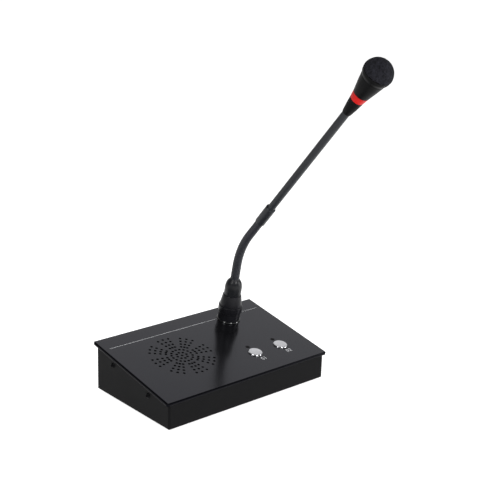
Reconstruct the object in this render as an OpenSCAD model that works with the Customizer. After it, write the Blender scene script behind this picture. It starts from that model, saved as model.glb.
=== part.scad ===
// Desk paging microphone: a folded sheet-metal console with a loudspeaker, two push
// buttons and a gooseneck microphone that plugs into its sloping panel.
// Millimetres. X to the right, Y to the back, Z up. The desk is Z = 0 and the
// console is centred on X and Y. Along the microphone, t is the distance from the panel.

/* [Console] */
// Width of the top panel
panel_w = 200; // [196:1:230]
// Depth of the top panel, along its slope
panel_d = 121; // [119:1:140]
// Slope of the top panel in degrees
panel_slope = 10.5; // [9:0.5:13]
// Height of the panel's front edge above the tray floor
front_h = 27.6; // [27:0.2:36]
// Sheet of the panel
panel_t = 1.5; // [1.2:0.1:1.8]
// Thickness over the panel's folded edge
edge_t = 3.6; // [2.6:0.1:4]
// Radius of the panel's folded edge
edge_round = 1.3; // [0.6:0.1:1.5]
// Corner radius of the panel
corner_r = 2.5; // [1.5:0.5:6]
// Width of the folded strip under the panel's edge
hem_w = 9; // [8:0.5:11]
// Panel overhang at each side
side_overhang = 3; // [2.6:0.1:4]
// Panel overhang at the front and the back
end_overhang = 2; // [1.6:0.1:3]
// Sheet of the tray
sheet_t = 1.2; // [1:0.1:1.5]
// Outer corner radius of the tray
tray_r = 2; // [1.8:0.1:4]
// Radius of the bends round the tray's floor
bend_r = 1.8; // [1.4:0.1:2.4]
// Width of a cover rail's flat leg
rail_w = 11; // [9:0.5:13]
// Height of a cover rail's upright leg
rail_h = 14; // [12:0.5:16]
// Sheet of the cover rails
rail_t = 1.5; // [1.2:0.1:2]
// Distance of a cover rail's ends from the panel's ends
rail_end = 18; // [12:1:24]
// First cover screw, from the panel's front edge
screw_front_s = 32.5; // [28:0.5:40]
// Second cover screw, from the panel's back edge
screw_back = 31.5; // [26:0.5:38]
// Depth of the cover screws below the panel's face
screw_drop = 10.6; // [10:0.1:12]
// Diameter of the rubber feet
foot_d = 14; // [10:1:18]
// Height of the rubber feet
foot_h = 2; // [1.6:0.2:4]
// Inset of the feet from the tray's walls
foot_inset = 16; // [12:1:22]

/* [Screws] */
// Thread diameter of the screws
screw_d = 3; // [2.8:0.1:3.2]
// Head diameter of the screws
head_d = 5.6; // [5.2:0.1:6]
// Head height of the screws
head_h = 1.9; // [1.6:0.1:2.2]
// Width of the cross recess
recess_w = 0.9; // [0.7:0.1:1.1]
// Depth of the cross recess
recess_h = 0.8; // [0.6:0.1:1]
// Radial clearance round screws and pressed-in pieces
seat_gap = 0.05; // [0.03:0.01:0.09]

/* [Grille and loudspeaker] */
// Grille centre from the panel's left edge
grille_left = 62.7; // [61:0.1:64]
// Grille centre from the panel's front edge
grille_s = 61; // [58:0.5:63]
// Spacing of the grille's rings
ring_pitch = 5.25; // [5:0.05:5.3]
// Diameter of a grille hole
hole_d = 2.7; // [2:0.1:2.8]
// Thickness of the dust cloth
cloth_t = 0.3; // [0.2:0.05:0.5]
// Margin of the dust cloth round the grille
cloth_margin = 2.4; // [2:0.1:2.6]
// Thickness of the loudspeaker gasket
gasket_t = 1.4; // [1.3:0.1:2]
// Inside radius of the loudspeaker gasket
gasket_r = 31.4; // [31.2:0.1:32]
// Width of the loudspeaker's square flange
speaker_w = 72; // [71:0.5:74]
// Sheet of the loudspeaker frame
frame_t = 0.8; // [0.7:0.1:1]
// Corner radius of the loudspeaker flange
speaker_corner_r = 6; // [4:0.5:8]
// Distance of the fixing studs from the loudspeaker's middle
stud_at = 31; // [30:0.1:31.5]
// Length of the fixing studs
stud_h = 9; // [8:0.5:10]
// Width across corners of the stud nuts
nut_d = 6.2; // [5.8:0.1:6.6]
// Height of the stud nuts
nut_h = 2.4; // [2:0.1:2.6]
// Radius of the frame's opening
opening_r = 29.4; // [29:0.1:30]
// Depth of the frame's basket
basket_h = 13.5; // [13:0.1:15]
// Radius of the basket's floor
basket_r = 17; // [16:0.1:18]
// Width of a basket window
window_w = 12; // [8:0.5:13]
// Outer radius of the surround
surround_r = 31; // [30.6:0.05:31.1]
// Radius of the surround's roll
roll_at = 27.6; // [27.4:0.05:27.8]
// Thickness of the roll
roll_r = 0.7; // [0.6:0.05:0.8]
// Thickness of the surround
surround_t = 0.4; // [0.3:0.05:0.5]
// Outer radius of the paper cone
cone_r = 25.8; // [25.6:0.05:26.2]
// Depth of the paper cone
cone_h = 9; // [8:0.2:10]
// Thickness of the paper cone, measured across
cone_t = 0.8; // [0.6:0.05:1]
// Outer radius of the voice coil
coil_r = 7.2; // [7.1:0.05:7.4]
// Wall of the voice coil
coil_t = 0.5; // [0.4:0.05:0.6]
// Length of the voice coil
coil_h = 8; // [7.5:0.1:8.5]
// Rise of the dust cap
cap_rise = 3; // [2:0.1:4]
// Thickness of the dust cap
cap_skin = 0.4; // [0.3:0.05:0.5]
// Radius of the steel plates
plate_r = 16.4; // [15:0.1:16.8]
// Thickness of the steel plates
plate_t = 2.5; // [2:0.1:3]
// Radius of the top plate's hole
gap_r = 7.8; // [7.7:0.05:8]
// Radius of the pole piece
pole_r = 6.3; // [6:0.05:6.4]
// Radius of the magnet
magnet_r = 18; // [17:0.1:19]
// Radius of the magnet's hole
magnet_hole_r = 9.6; // [9:0.1:10.5]
// Height of the magnet
magnet_h = 6.5; // [5:0.1:7]

/* [Buttons and lamps] */
// Second button and lamp from the panel's right edge
button_edge = 34.8; // [33:0.1:38]
// Distance between the two buttons, and between their lamps
button_pitch = 33.2; // [30:0.1:35]
// Buttons from the panel's front edge
button_s = 32.2; // [31:0.1:33]
// Diameter of a button
button_d = 14.2; // [13:0.1:15.4]
// Height of a button's straight side above the panel
button_rise = 0.85; // [0.6:0.05:1.3]
// Extra height of a button's dome
dome_rise = 0.4; // [0.4:0.1:1.2]
// Gap round a button in its panel hole
button_gap = 0.3; // [0.2:0.05:0.4]
// Width of a button's retaining lip
lip_w = 1.4; // [1.1:0.1:1.6]
// Thickness of a button's retaining lip
lip_t = 1; // [0.8:0.1:1.2]
// Gap between the lip and the panel at rest
lip_gap = 0.05; // [0.04:0.01:0.1]
// Wall of a button cap
button_wall = 1.3; // [1:0.1:1.5]
// Diameter of a button's stem
stem_d = 5; // [4:0.1:5.6]
// Bottom of a button's stem below the panel's face
stem_end = 6; // [5.6:0.1:6.4]
// Width of a key switch
switch_w = 12; // [11:0.1:12.6]
// Height of a key switch
switch_h = 3.6; // [3.4:0.1:4]
// Diameter of a key switch's plunger
plunger_d = 6.6; // [6:0.1:7]
// Length of a plunger above its switch
plunger_rise = 2; // [1.8:0.1:2.4]
// Length of a plunger inside its switch
plunger_in = 1.2; // [1:0.1:1.4]
// Floor of a key switch
switch_floor = 0.8; // [0.6:0.1:0.9]
// Radial clearance of a plunger
plunger_gap = 0.08; // [0.05:0.01:0.1]
// Lamps from the panel's front edge
lamp_s = 44; // [43:0.1:45]
// Diameter of a lamp
lamp_d = 3.6; // [3:0.1:4]
// Height of a lamp's tip above the panel
lamp_rise = 0.3; // [0.1:0.05:0.6]
// Length of a lamp below the panel's face
lamp_h = 5; // [4.6:0.1:5.6]
// Rim of a lamp's base
lamp_rim = 0.5; // [0.4:0.1:0.7]
// Height of a lamp's base
lamp_rim_h = 1; // [0.8:0.1:1.2]
// Width of the key board
key_board_w = 58; // [56:0.5:62]
// Depth of the key board
key_board_d = 36; // [35:0.5:38]
// Fixing pillars' inset on the key board
pillar_inset = 3.2; // [3:0.1:3.6]
// Diameter of the key board's pillars
pillar_d = 5; // [4.8:0.1:5.4]
// Thickness of the circuit boards
board_t = 1.6; // [1.4:0.1:1.8]
// Depth of a screw hole in a pillar
pillar_hole = 5; // [4.8:0.1:5.4]

/* [Main board and jacks] */
// Gap between the main board and the right wall
board_side = 7.8; // [6:0.2:10]
// Width of the main board
board_w = 84; // [76:1:92]
// Depth of the main board
board_d = 60; // [56:1:62]
// Height of the main board's pillars
board_rise = 6; // [5.4:0.2:7]
// Gap between the main board and the back wall
board_gap = 2; // [1:0.2:3]
// Processor and amplifier from the main board's front edge
chip_front = 12; // [10:0.5:14]
// Processor from the main board's left edge
chip_in = 14; // [12:0.5:16]
// Width of the processor
chip_w = 14; // [12:0.5:16]
// Height of the processor and the amplifier
chip_h = 1.6; // [1.2:0.1:2]
// Distance between the processor and the amplifier
chip_space = 8; // [6:0.5:10]
// Width of the amplifier
amp_w = 9; // [8:0.5:10]
// Capacitors from the main board's right edge
can_in = 16; // [14:0.5:18]
// Distance between the capacitors
can_pitch = 12; // [11:0.5:14]
// Diameter of a capacitor
can_d = 8; // [6:0.5:10]
// Height of a capacitor
can_h = 10; // [8:0.5:11]
// Middle of the network jack from the main board's left edge
net_in = 17; // [16:0.5:20]
// Width of the network jack
net_w = 16; // [15:0.1:16.6]
// Height of the network jack
net_h = 13.5; // [13:0.1:14]
// Depth of the network jack
net_d = 21; // [19:0.5:22]
// Jacks' reach behind the back wall
jack_reach = 0.8; // [0.4:0.1:1.2]
// Gap round the jacks in the back wall
jack_gap = 0.25; // [0.15:0.05:0.4]
// Width of the network jack's mouth
mouth_w = 11.8; // [11.6:0.1:12.4]
// Height of the network jack's mouth
mouth_h = 7.2; // [6.8:0.1:7.6]
// Depth of the network jack's mouth
mouth_d = 14; // [12:0.5:15]
// Height of the mouth's floor above the board
mouth_z = 3.4; // [3:0.1:3.8]
// Width of the latch slot under the mouth
latch_w = 6; // [5:0.1:6.5]
// Depth of the latch slot
latch_h = 1.6; // [1.2:0.1:2]
// Middle of the power jack from the main board's right edge
power_in = 12; // [11:0.5:14]
// Width of the power jack
power_w = 9; // [9:0.1:9.6]
// Height of the power jack
power_h = 11; // [10.6:0.1:11.6]
// Depth of the power jack's body
power_d = 13; // [11:0.5:14]
// Diameter of the power jack's nose
nose_d = 8; // [7.8:0.1:8.6]
// Height of the power jack's axis above the board
nose_z = 6.4; // [6:0.1:6.8]
// Bore of the power jack
barrel_d = 6.3; // [6:0.1:6.5]
// Depth of the power jack's bore
barrel_h = 10; // [9:0.5:10.5]
// Diameter of the power jack's pin
pin_d = 2.1; // [2:0.1:2.5]
// Length of the power jack's pin
pin_h = 9; // [8:0.5:9.5]

/* [Socket and plug] */
// Microphone socket from the panel's right edge
mic_edge = 49.2; // [47.5:0.1:50.5]
// Microphone socket from the panel's back edge
mic_back = 23.8; // [22.5:0.1:25]
// Diameter of the socket's collar
collar_d = 22.5; // [22:0.1:23]
// Height of the socket's collar
collar_h = 10; // [9.2:0.1:11]
// Diameter of the bead round the collar's foot
bead_d = 24.6; // [24.2:0.1:26]
// Height of the bead
bead_h = 1.6; // [1.2:0.1:2]
// Diameter of the socket's barrel below the panel
barrel_out_d = 20; // [19.8:0.1:20.6]
// Length of the socket below the panel's face
barrel_drop = 16; // [15:0.1:17]
// Bore of the socket
socket_bore = 17.8; // [17.6:0.05:18]
// Diameter of the socket's nut
socket_nut_d = 27; // [26:0.5:28]
// Height of the socket's nut
socket_nut_h = 3; // [2.6:0.1:3.6]
// Diameter of the insert's pillar
insert_d = 13.6; // [13:0.1:13.8]
// Top of the insert above the panel's face
insert_top = 8; // [7:0.1:8.4]
// Thickness of the insert's foot
insert_foot = 3; // [2.6:0.1:3.4]
// Radius of the contact circle
contact_at = 3.9; // [3.7:0.05:4.2]
// Diameter of a contact sleeve
sleeve_d = 3.4; // [3.3:0.05:3.6]
// Length of a contact sleeve below the insert's top
sleeve_h = 17; // [16:0.2:18]
// Diameter of a contact's solder tail
tail_d = 1.6; // [1.4:0.1:1.8]
// Length of a contact's solder tail
tail_h = 9; // [8:0.2:10]
// Diameter of a plug pin
plug_pin_d = 2.4; // [2.3:0.05:2.5]
// Radial clearance of a plug pin
pin_gap = 0.08; // [0.05:0.01:0.1]
// Depth of the plug pins below the panel's face
plug_pin_drop = 3; // [2:0.1:4]
// Diameter of the plug's barrel
plug_barrel_d = 17.4; // [17.2:0.05:17.5]
// Bore of the plug's barrel
plug_bore = 14.4; // [14.1:0.05:14.6]
// Depth of the plug's barrel below the panel's face
plug_drop = 10; // [9:0.1:11]
// Diameter of the lock ring
lock_d = 24.4; // [23:0.1:25]
// Height of the lock ring
lock_h = 7; // [6:0.1:8]
// Diameter of the plug shell at the lock ring
shell_d = 23.2; // [21:0.1:23.6]
// Diameter of the plug shell at the boot
shell_top_d = 18.7; // [16.9:0.05:19]
// Height of the plug shell
shell_h = 12.2; // [11.2:0.1:13]
// Bottom of the plug insert
plug_insert_t = 9; // [8.8:0.1:9.4]
// Height of the plug insert
plug_insert_h = 6; // [5:0.1:7]
// Length of the plug pins above their insert
pin_tail = 3; // [2:0.1:4]
// Diameter of the boot
boot_d = 17.4; // [16:0.1:17.8]
// Height of the boot's straight part
boot_h = 10.2; // [9:0.1:11]
// Diameter of the boot's shoulder
boot_shoulder_d = 14.4; // [13:0.1:15]
// Height of the boot's shoulder
boot_shoulder_h = 3; // [2:0.1:4]
// Diameter of the boot's mouth
boot_mouth_d = 9.4; // [9.2:0.1:10.5]
// Height of the boot's tapered top
boot_top_h = 6; // [5:0.1:7]
// Length of the boot inside the plug shell
boot_spigot = 7; // [6:0.2:9]

/* [Gooseneck] */
// Straight length of the neck before its bend
neck_straight = 61; // [57:0.5:64]
// Radius of the neck's bend
neck_bend_r = 77.5; // [74:0.5:86]
// Angle of the neck's bend in degrees
neck_bend = 30.2; // [24:0.2:34]
// Diameter of the flexible neck
neck_d = 8.4; // [8.2:0.05:8.6]
// First neck joint from the panel
joint_first = 51.9; // [51.7:0.1:52.5]
// Last neck joint from the panel
joint_last = 124; // [123:0.5:127]
// Radius of a neck link's ball
ball_r = 3.3; // [3.2:0.05:3.4]
// Clearance of a ball in its cup
ball_gap = 0.12; // [0.1:0.01:0.15]
// Half of the gap between neighbouring links
link_gap = 0.85; // [0.8:0.05:1]
// Diameter of a link's stem
link_stem_d = 4.4; // [4:0.1:4.8]
// Diameter of the wire bore
wire_d = 2.4; // [2:0.1:2.8]
// Length of the neck's foot inside the boot
neck_foot = 12; // [10:0.5:14]
// Diameter of the ferrule
ferrule_d = 10.2; // [9.2:0.1:10.4]
// Length of the ferrule past the last neck joint
ferrule_l = 25; // [22:0.5:28]
// Chamfer at the ferrule's ends
ferrule_chamfer = 0.7; // [0.4:0.1:0.9]
// Diameter of the upper tube
tube_d = 7; // [6.8:0.1:7.2]
// Wall of the upper tube
tube_wall = 1; // [0.8:0.1:1.2]
// Length of the upper tube inside the ferrule
tube_in = 17; // [15:0.5:18]
// Length of the upper tube between the ferrule and the head
tube_l = 141.5; // [120:0.5:180]

/* [Microphone head] */
// Diameter of the head at its start
head_start_d = 8.6; // [8.4:0.1:9]
// Height of the head's collar
head_collar_h = 17.7; // [17:0.1:21]
// Diameter where the light ring starts
light_start_d = 13.4; // [13.2:0.1:14]
// Height of the light ring
light_h = 7; // [7:0.1:9.4]
// Diameter where the light ring ends
light_end_d = 15.7; // [15.6:0.1:16.6]
// Height of the head's body
head_body_h = 19.4; // [15:0.1:20]
// Diameter where the head's body ends
head_end_d = 22.8; // [22.2:0.1:23.4]
// Wall of the head's body
head_wall = 1.4; // [1.2:0.1:1.5]
// Length of the upper tube inside the collar
tube_socket = 9; // [8:0.2:10]
// Diameter of the collar's spigot
spigot_d = 8.8; // [8.6:0.05:9]
// Bore of the collar's spigot
spigot_bore = 5.6; // [5:0.1:6]
// Length of the spigot past the light ring
spigot_over = 3; // [2:0.1:4]
// Thickness of the lamp board in the head
lamp_board_t = 1.2; // [1:0.1:1.4]
// Width of the lamp board in the head
lamp_board_w = 1.1; // [1:0.05:1.2]
// Diameter of the trim cup's rim
trim_d = 27.8; // [26.8:0.1:28]
// Height of the trim cup
trim_h = 7.4; // [7:0.1:8.4]
// Bore of the trim cup's floor
trim_bore = 16.8; // [16.6:0.1:17]
// Diameter of the trim cup's mouth
cup_mouth_d = 24; // [23:0.1:24.4]
// Depth of the trim cup's mouth
cup_mouth_h = 4; // [3.6:0.1:4.4]
// Radius of the foam windscreen
foam_r = 13.8; // [13.3:0.1:14]
// Middle of the windscreen above the cup's floor
foam_rise = 3.2; // [2.6:0.1:3.8]
// Radius of the windscreen's hollow
foam_hollow_r = 9.2; // [9.1:0.05:9.6]
// Height of the hollow's straight part
foam_hollow_h = 3.6; // [3:0.1:4]
// Diameter of the capsule
capsule_d = 9.7; // [9.4:0.1:10]
// Height of the capsule
capsule_h = 6.7; // [6:0.1:7.4]
// Wall of the capsule holder's cup
holder_wall = 1.5; // [1.3:0.1:1.7]
// Diameter of the capsule holder's rim
holder_d = 18; // [17.8:0.05:18.1]
// Thickness of the capsule holder's rim
holder_t = 1.2; // [1:0.1:1.4]
// Depth of the capsule holder's cup
holder_h = 7.4; // [7:0.1:8]
// Depth of the capsule in its cup
capsule_in = 6; // [5:0.1:6.4]

/* [Hidden] */
$fn = 96;

black_paint = [0.11, 0.11, 0.12];
black_satin = [0.16, 0.16, 0.17];
black_plastic = [0.08, 0.08, 0.09];
black_rubber = [0.05, 0.05, 0.05];
silver = [0.8, 0.8, 0.82];
zinc = [0.62, 0.63, 0.65];
brass = [0.75, 0.62, 0.3];
board_green = [0.1, 0.3, 0.18];
foam_black = [0.06, 0.06, 0.07];
ring_red = [0.85, 0.12, 0.1];
paper_grey = [0.25, 0.24, 0.23];
ferrite = [0.2, 0.2, 0.21];

grille_rings = 6;
links = 7;
contacts = 3;
front_y = -panel_d * cos(panel_slope) / 2;
panel_z = foot_h + front_h;
tray_w = panel_w - 2 * side_overhang;
tray_front_y = front_y + end_overhang;
tray_back_y = -tray_front_y;
tray_h = front_h + panel_d * sin(panel_slope);
tray_d = tray_back_y - tray_front_y;
edge_r = min(edge_round, 0.45 * edge_t);
floor_z = foot_h + sheet_t;
wall_x = tray_w / 2;
hole_r = screw_d / 2 + seat_gap;
grille_x = grille_left - panel_w / 2;
button_right_x = panel_w / 2 - button_edge;
button_left_x = button_right_x - button_pitch;
mic_x = panel_w / 2 - mic_edge;
mic_s = panel_d - mic_back;
screw_back_s = panel_d - screw_back;
under = panel_t;
gasket_z = under + cloth_t;
flange_z = gasket_z + gasket_t;
basket_z = flange_z + basket_h;
top_plate_z = basket_z;
magnet_z = top_plate_z + plate_t;
back_plate_z = magnet_z + magnet_h;
cloth_r = grille_rings * ring_pitch + cloth_margin;
stem_z = stem_end;
switch_z = stem_z + plunger_rise;
key_board_z = switch_z + switch_h;
key_board_x = (button_left_x + button_right_x) / 2;
key_board_s = (button_s + lamp_s) / 2;
board_right = wall_x - sheet_t - board_side;
board_x = board_right - board_w;
net_x = board_x + net_in;
power_x = board_right - power_in;
board_z = floor_z + board_rise;
board_top_z = board_z + board_t;
board_back_y = tray_back_y - sheet_t - board_gap;
jack_back_y = tray_back_y + jack_reach;
shell_t = collar_h + lock_h;
boot_t = shell_t + shell_h;
joint_step = (joint_last - joint_first) / links;
ferrule_end = joint_last + ferrule_l;
head_t = ferrule_end + tube_l;
bend_length = neck_bend_r * neck_bend * PI / 180;
light_t = head_t + head_collar_h;
body_t = light_t + light_h;
trim_t = body_t + head_body_h;
foam_t = trim_t + trim_h - cup_mouth_h;

// Places a piece on the panel's face, x from its middle and s from its front edge
module on_panel(x = 0, s = 0) {
    translate([0, front_y, panel_z])
        rotate([panel_slope, 0, 0])
            translate([x, s, 0])
                children();
}

// Places a piece on the microphone's centre line, t from the panel
module on_neck(t) {
    rise = min(t, neck_straight);
    angle = max(0, min(neck_bend, (t - neck_straight) / neck_bend_r * 180 / PI));
    rest = max(0, t - neck_straight - bend_length);
    on_panel(mic_x, mic_s)
        translate([0, -neck_bend_r, rise])
            rotate([angle, 0, 0])
                translate([0, neck_bend_r, rest])
                    children();
}

// Rectangle with round corners, centred
module round_rect(w, d, r) {
    square([w - 2 * r, d], center = true);
    square([w, d - 2 * r], center = true);
    for (x = [-1, 1], y = [-1, 1])
        translate([x * (w / 2 - r), y * (d / 2 - r)])
            circle(r);
}

// Cylinder with its bottom at z
module post(z, h, d) {
    translate([0, 0, z])
        cylinder(h = h, d = d);
}

// Ring with its bottom at z
module ring(z, h, d, bore) {
    difference() {
        post(z, h, d);
        post(z - h, 3 * h, bore);
    }
}

// Screw with its head's seat at z = 0, the shank running to -z
module screw(length) {
    dome_r = (head_d * head_d / 4 + head_h * head_h) / (2 * head_h);
    difference() {
        union() {
            intersection() {
                post(0, head_h, head_d);
                translate([0, 0, head_h - dome_r])
                    sphere(dome_r);
            }
            post(-length, length, screw_d);
        }
        for (a = [0, 90])
            rotate(a)
                translate([-head_d / 4, -recess_w / 2, head_h - recess_h])
                    cube([head_d / 2, recess_w, head_h]);
    }
}

// Outline of the tray, inset by a sheet for its inside
module tray_outline(inset) {
    round_rect(tray_w - 2 * inset, tray_d - 2 * inset, tray_r - inset);
}

// Axis of each cover screw, +z pointing out of the wall
module at_cover_screws() {
    for (side = [-1, 1], s = [screw_front_s, screw_back_s])
        on_panel(side * wall_x, s)
            translate([0, 0, -screw_drop])
                rotate([0, side * 90, 0])
                    children();
}

// Tray before it is hollowed, its bottom edges bent to a radius
module tray_blank() {
    translate([0, 0, foot_h])
        intersection() {
            linear_extrude(tray_h)
                tray_outline(0);
            translate([0, tray_d, tray_h])
                rotate([90, 0, 0])
                    linear_extrude(2 * tray_d)
                        round_rect(tray_w, 2 * tray_h, bend_r);
            translate([-tray_w, 0, tray_h])
                rotate([90, 0, 90])
                    linear_extrude(2 * tray_w)
                        round_rect(tray_d, 2 * tray_h, bend_r);
        }
}

module base_tray() {
    color(black_paint)
        difference() {
            tray_blank();
            translate([0, 0, floor_z])
                linear_extrude(tray_h)
                    tray_outline(sheet_t);
            on_panel()
                translate([-panel_w, -panel_d, -edge_t])
                    cube([2 * panel_w, 3 * panel_d, tray_h]);
            at_cover_screws()
                translate([0, 0, -2 * sheet_t])
                    cylinder(h = 3 * sheet_t, r = hole_r);
            translate([net_x - net_w / 2 - jack_gap, tray_back_y - 2 * sheet_t, board_top_z - jack_gap])
                cube([net_w + 2 * jack_gap, 3 * sheet_t, net_h + 2 * jack_gap]);
            translate([power_x, tray_back_y + sheet_t, board_top_z + nose_z])
                rotate([90, 0, 0])
                    cylinder(h = 3 * sheet_t, r = nose_d / 2 + jack_gap);
        }
}

module rubber_feet() {
    color(black_rubber)
        for (x = [-1, 1], y = [-1, 1])
            translate([x * (wall_x - foot_inset), y * (tray_back_y - foot_inset), 0])
                cylinder(h = foot_h, d = foot_d);
}

// Section of the panel's rounded edge: a slab of the given width, centred
module edge_section(w) {
    translate([0, -edge_t / 2])
        round_rect(w, edge_t, edge_r);
}

// Panel with its folded edge, before the holes
module panel_blank() {
    intersection() {
        translate([0, panel_d, 0])
            rotate([90, 0, 0])
                linear_extrude(panel_d)
                    edge_section(panel_w);
        translate([-panel_w / 2, panel_d / 2, 0])
            rotate([90, 0, 90])
                linear_extrude(panel_w)
                    edge_section(panel_d);
        translate([0, panel_d / 2, -edge_t])
            linear_extrude(edge_t)
                round_rect(panel_w, panel_d, corner_r);
    }
}

// Holes of the grille: eight spokes of three from the third ring outward
module grille_holes() {
    post(-2 * edge_t, 3 * edge_t, hole_d);
    for (k = [1 : grille_rings], spoke = [0 : 7], step = [-1 : 1])
        if (k > 2 || step == 0 || (k == 2 && step == 1))
            rotate(spoke * 45 + step * (k == 2 ? 22.5 : 11.25))
                translate([k * ring_pitch, 0, 0])
                    post(-2 * edge_t, 3 * edge_t, hole_d);
}

module top_panel() {
    color(black_satin)
        on_panel()
            difference() {
                panel_blank();
                translate([-panel_w / 2 + hem_w, hem_w, -edge_t - panel_t])
                    cube([panel_w - 2 * hem_w, panel_d - 2 * hem_w, edge_t]);
                translate([grille_x, grille_s, 0])
                    grille_holes();
                for (x = [button_left_x, button_right_x]) {
                    translate([x, button_s, 0])
                        post(-2 * edge_t, 3 * edge_t, button_d + 2 * button_gap);
                    translate([x, lamp_s, 0])
                        post(-2 * edge_t, 3 * edge_t, lamp_d + 2 * seat_gap);
                }
                translate([mic_x, mic_s, 0])
                    post(-2 * edge_t, 3 * edge_t, barrel_out_d + 2 * seat_gap);
            }
}

module cover_rails() {
    rail_l = panel_d - 2 * rail_end;
    color(black_paint)
        for (side = [-1, 1])
            on_panel(side * (wall_x - sheet_t), rail_end)
                difference() {
                    mirror([side > 0 ? 1 : 0, 0, 0])
                        union() {
                            translate([0, 0, -edge_t - rail_h])
                                cube([rail_t, rail_l, rail_h]);
                            translate([0, 0, -edge_t - rail_t])
                                cube([rail_w, rail_l, rail_t]);
                        }
                    for (s = [screw_front_s, screw_back_s])
                        translate([-2 * rail_t, s - rail_end, -screw_drop])
                            rotate([0, 90, 0])
                                cylinder(h = 4 * rail_t, r = hole_r);
                }
}

module cover_screws() {
    color(black_plastic)
        at_cover_screws()
            screw(2 * sheet_t + 2 * rail_t);
}

module grille_cloth() {
    color(black_rubber)
        on_panel(grille_x, grille_s)
            post(-gasket_z, cloth_t, 2 * cloth_r);
}

module speaker_gasket() {
    color(black_rubber)
        on_panel(grille_x, grille_s)
            ring(-flange_z, gasket_t, speaker_w - cloth_margin, 2 * gasket_r);
}

module at_studs() {
    for (x = [-1, 1], y = [-1, 1])
        on_panel(grille_x + x * stud_at, grille_s + y * stud_at)
            children();
}

module speaker_frame() {
    rim_r = opening_r + frame_t;
    color(zinc)
        difference() {
            on_panel(grille_x, grille_s)
                union() {
                    translate([0, 0, -flange_z - frame_t])
                        linear_extrude(frame_t)
                            difference() {
                                round_rect(speaker_w, speaker_w, speaker_corner_r);
                                circle(opening_r);
                            }
                    difference() {
                        rotate_extrude()
                            polygon([
                                [opening_r, -flange_z - frame_t],
                                [rim_r, -flange_z - frame_t],
                                [basket_r + frame_t, -basket_z],
                                [gap_r + frame_t, -basket_z],
                                [gap_r + frame_t, -basket_z + frame_t],
                                [basket_r, -basket_z + frame_t]
                            ]);
                        for (a = [45 : 90 : 315])
                            rotate(a)
                                translate([basket_r + 2 * frame_t, -window_w / 2, -basket_z + 3 * frame_t])
                                    cube([opening_r, window_w, basket_h - 7 * frame_t]);
                    }
                }
            at_studs()
                post(-2 * flange_z, 2 * flange_z, screw_d + 2 * seat_gap);
        }
}

module speaker_studs() {
    color(zinc)
        at_studs()
            post(-under - stud_h, stud_h, screw_d);
}

module speaker_nuts() {
    color(zinc)
        at_studs()
            difference() {
                translate([0, 0, -flange_z - frame_t - nut_h])
                    cylinder(h = nut_h, d = nut_d, $fn = 6);
                post(-2 * flange_z - frame_t - nut_h, 2 * flange_z + nut_h, screw_d + 2 * seat_gap);
            }
}

module speaker_surround() {
    color(black_rubber)
        on_panel(grille_x, grille_s)
            union() {
                ring(-flange_z, surround_t, 2 * surround_r, 2 * (cone_r - 2 * cone_t));
                translate([0, 0, -flange_z + surround_t / 2])
                    rotate_extrude()
                        translate([roll_at, 0])
                            circle(roll_r);
            }
}

module speaker_cone() {
    color(paper_grey)
        on_panel(grille_x, grille_s)
            rotate_extrude()
                polygon([
                    [cone_r, -flange_z],
                    [cone_r - cone_t, -flange_z],
                    [coil_r, -flange_z - cone_h],
                    [coil_r + cone_t, -flange_z - cone_h]
                ]);
}

module speaker_dust_cap() {
    cap_r = coil_r - seat_gap;
    dome_r = (cap_r * cap_r + cap_rise * cap_rise) / (2 * cap_rise);
    color(black_rubber)
        on_panel(grille_x, grille_s)
            intersection() {
                post(-flange_z - cone_h, 2 * cap_rise, 2 * cap_r);
                translate([0, 0, -flange_z - cone_h + cap_rise - dome_r])
                    difference() {
                        sphere(dome_r);
                        sphere(dome_r - cap_skin);
                    }
            }
}

module voice_coil() {
    color(brass)
        on_panel(grille_x, grille_s)
            ring(-flange_z - cone_h - coil_h, coil_h, 2 * coil_r, 2 * (coil_r - coil_t));
}

module speaker_top_plate() {
    color(zinc)
        on_panel(grille_x, grille_s)
            ring(-magnet_z, plate_t, 2 * plate_r, 2 * gap_r);
}

module speaker_magnet() {
    color(ferrite)
        on_panel(grille_x, grille_s)
            ring(-back_plate_z, magnet_h, 2 * magnet_r, 2 * magnet_hole_r);
}

module speaker_yoke() {
    color(zinc)
        on_panel(grille_x, grille_s)
            union() {
                post(-back_plate_z - plate_t, plate_t, 2 * plate_r);
                post(-back_plate_z, magnet_h + plate_t, 2 * pole_r);
            }
}

module at_key_pillars() {
    for (x = [-1, 1], y = [-1, 1])
        on_panel(key_board_x, key_board_s)
            translate([
                x * (key_board_w / 2 - pillar_inset),
                y * (key_board_d / 2 - pillar_inset),
                -key_board_z
            ])
                children();
}

module key_board() {
    color(board_green)
        difference() {
            on_panel(key_board_x, key_board_s)
                translate([-key_board_w / 2, -key_board_d / 2, -key_board_z - board_t])
                    cube([key_board_w, key_board_d, board_t]);
            at_key_pillars()
                post(-2 * board_t, 3 * board_t, screw_d + 2 * seat_gap);
        }
}

module key_pillars() {
    color(zinc)
        at_key_pillars()
            difference() {
                post(0, key_board_z - under, pillar_d);
                post(-pillar_hole, 2 * pillar_hole, screw_d + 2 * seat_gap);
            }
}

module key_screws() {
    color(zinc)
        at_key_pillars()
            translate([0, 0, -board_t])
                rotate([180, 0, 0])
                    screw(board_t + pillar_hole - screw_d / 2);
}

module key_switches() {
    color(black_plastic)
        for (x = [button_left_x, button_right_x])
            on_panel(x, button_s)
                difference() {
                    translate([-switch_w / 2, -switch_w / 2, -key_board_z])
                        cube([switch_w, switch_w, switch_h]);
                    post(-key_board_z + switch_floor, switch_h, plunger_d + 2 * plunger_gap);
                }
}

module status_lamps() {
    color(black_plastic)
        for (x = [button_left_x, button_right_x])
            on_panel(x, lamp_s)
                union() {
                    post(-lamp_h, lamp_h + lamp_rise, lamp_d);
                    post(-lamp_h, lamp_rim_h, lamp_d + 2 * lamp_rim);
                    post(-key_board_z, key_board_z - lamp_h, lamp_d);
                }
}

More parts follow.
